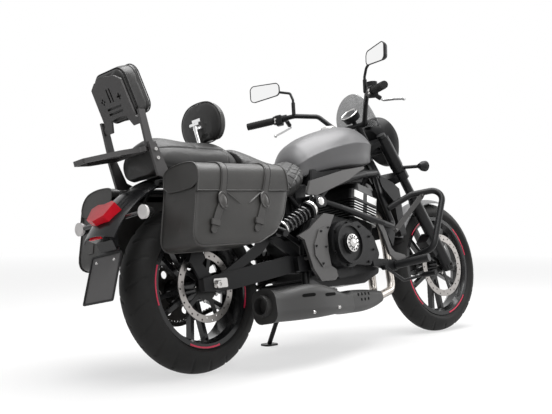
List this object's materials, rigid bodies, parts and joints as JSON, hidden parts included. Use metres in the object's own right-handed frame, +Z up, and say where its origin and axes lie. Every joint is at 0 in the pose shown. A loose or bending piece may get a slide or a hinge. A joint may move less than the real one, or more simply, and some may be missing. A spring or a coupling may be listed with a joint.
{
  "type": "cruiser motorcycle",
  "caption": "Mid-size cruiser motorcycle leaning on its side stand, with saddlebags, back rests, rack, engine guards and wide bar.",
  "frame": {"origin": "middle of the motorcycle's outer box, on the floor that it stands on", "axes": "+X towards the front wheel, +Y to the rider's left, +Z up"},
  "size_m": [2.3293, 0.9314, 1.3104],
  "materials": {
    "tyre": "black rubber with a fine tread",
    "wheel_black": "gloss black cast alloy with a thin red rim line",
    "disc_steel": "drilled ground steel",
    "frame_black": "satin black paint",
    "chain_steel": "dark oiled steel",
    "axle_steel": "bright zinc-plated steel",
    "caliper_black": "black hard coat",
    "spring_black": "black powder coat",
    "engine_black": "satin black casting",
    "cylinder_alloy": "dark cast alloy with bright fin edges",
    "cover_grey": "metallic grey",
    "radiator_black": "black core and shrouds",
    "exhaust_black": "heat-proof matt black",
    "header_steel": "stainless steel, tinted by heat",
    "tank_grey": "satin grey paint",
    "seat_leather": "black leather with quilted panels",
    "pad_leather": "black smooth leather",
    "bag_leather": "black waxed leather with straps",
    "chrome": "polished chrome",
    "fender_black": "gloss black paint",
    "red_lens": "clear red plastic",
    "clear_lens": "clear plastic over a reflector",
    "plate_grey": "blank dark plate",
    "fork_steel": "hard-chromed tube",
    "grip_rubber": "ribbed rubber",
    "control_black": "black plastic",
    "lever_alloy": "satin anodised alloy",
    "mirror": "mirror glass",
    "smoke_screen": "smoked plastic",
    "peg_black": "black coated steel and rubber"
  },
  "bodies": {
    "rear_wheel_body": {"rear_tyre": "tyre", "rear_wheel": "wheel_black", "rear_disc": "disc_steel", "rear_sprocket": "chain_steel"},
    "front_wheel_body": {"front_tyre": "tyre", "front_wheel": "wheel_black", "front_disc": "disc_steel"},
    "side_stand_body": {"side_stand": "frame_black"},
    "right_lid_body": {"bag_lid_right": "bag_leather"},
    "left_lid_body": {"bag_lid_left": "bag_leather"},
    "steering": {"fork_tubes": "fork_steel", "fork_lowers": "frame_black", "front_axle": "axle_steel", "fork_bridges": "frame_black", "handlebar": "frame_black", "grips": "grip_rubber", "hand_controls": "control_black", "levers": "lever_alloy", "mirrors": "control_black", "mirror_glass": "mirror", "headlamp_shell": "control_black", "headlamp_lens": "clear_lens", "fly_screen": "smoke_screen", "instrument": "control_black", "front_indicators": "clear_lens", "front_fender": "tank_grey", "front_caliper": "caliper_black"},
    "chassis": {"swingarm": "frame_black", "rear_axle": "axle_steel", "rear_caliper": "caliper_black", "drive_chain": "chain_steel", "shock_absorber": "spring_black", "shock_spring": "spring_black", "frame": "frame_black", "engine": "engine_black", "cylinders": "cylinder_alloy", "clutch_cover": "engine_black", "right_side_cover": "cover_grey", "radiator": "radiator_black", "exhaust_headers": "header_steel", "collector": "exhaust_black", "muffler": "exhaust_black", "fuel_tank": "tank_grey", "tank_wings": "cover_grey", "rear_fender": "fender_black", "pillion_seat": "seat_leather", "rider_seat": "seat_leather", "driver_backrest": "pad_leather", "backrest_post": "chrome", "sissy_bar": "frame_black", "sissy_pad": "pad_leather", "tail_light": "red_lens", "rear_indicators": "clear_lens", "number_plate": "plate_grey", "bag_right": "bag_leather", "bag_left": "bag_leather", "front_brackets": "cover_grey", "crash_bars": "frame_black", "footpegs": "peg_black"}
  },
  "joints": [
    {"name": "rear_wheel_spin", "type": "hinge", "parent": "chassis", "child": "rear_wheel_body", "pos_m": [-0.7219, -0.12938, 0.30781], "axis": [0, 0.982, -0.1891], "continuous": true},
    {"name": "steering_turn", "type": "hinge", "parent": "chassis", "child": "steering", "pos_m": [0.49411, -0.03764, 0.78423], "axis": [-0.515, 0.1621, 0.8417], "range_deg": [-28.6, 35.4]},
    {"name": "front_wheel_spin", "type": "hinge", "parent": "steering", "child": "front_wheel_body", "pos_m": [0.85301, -0.13276, 0.30841], "axis": [0.0508, 0.986, -0.1588], "continuous": true},
    {"name": "side_stand_fold", "type": "hinge", "parent": "chassis", "child": "side_stand_body", "pos_m": [-0.0499, -0.00507, 0.20241], "axis": [0.093, 0.8972, 0.4318], "range_deg": [0, 96]},
    {"name": "right_lid_open", "type": "hinge", "parent": "chassis", "child": "right_lid_body", "pos_m": [-0.7019, -0.20077, 0.73298], "axis": [1, 0, 0], "range_deg": [-75, 0]},
    {"name": "left_lid_open", "type": "hinge", "parent": "chassis", "child": "left_lid_body", "pos_m": [-0.7019, 0.0948, 0.67607], "axis": [1, 0, 0], "range_deg": [0, 75]}
  ]
}
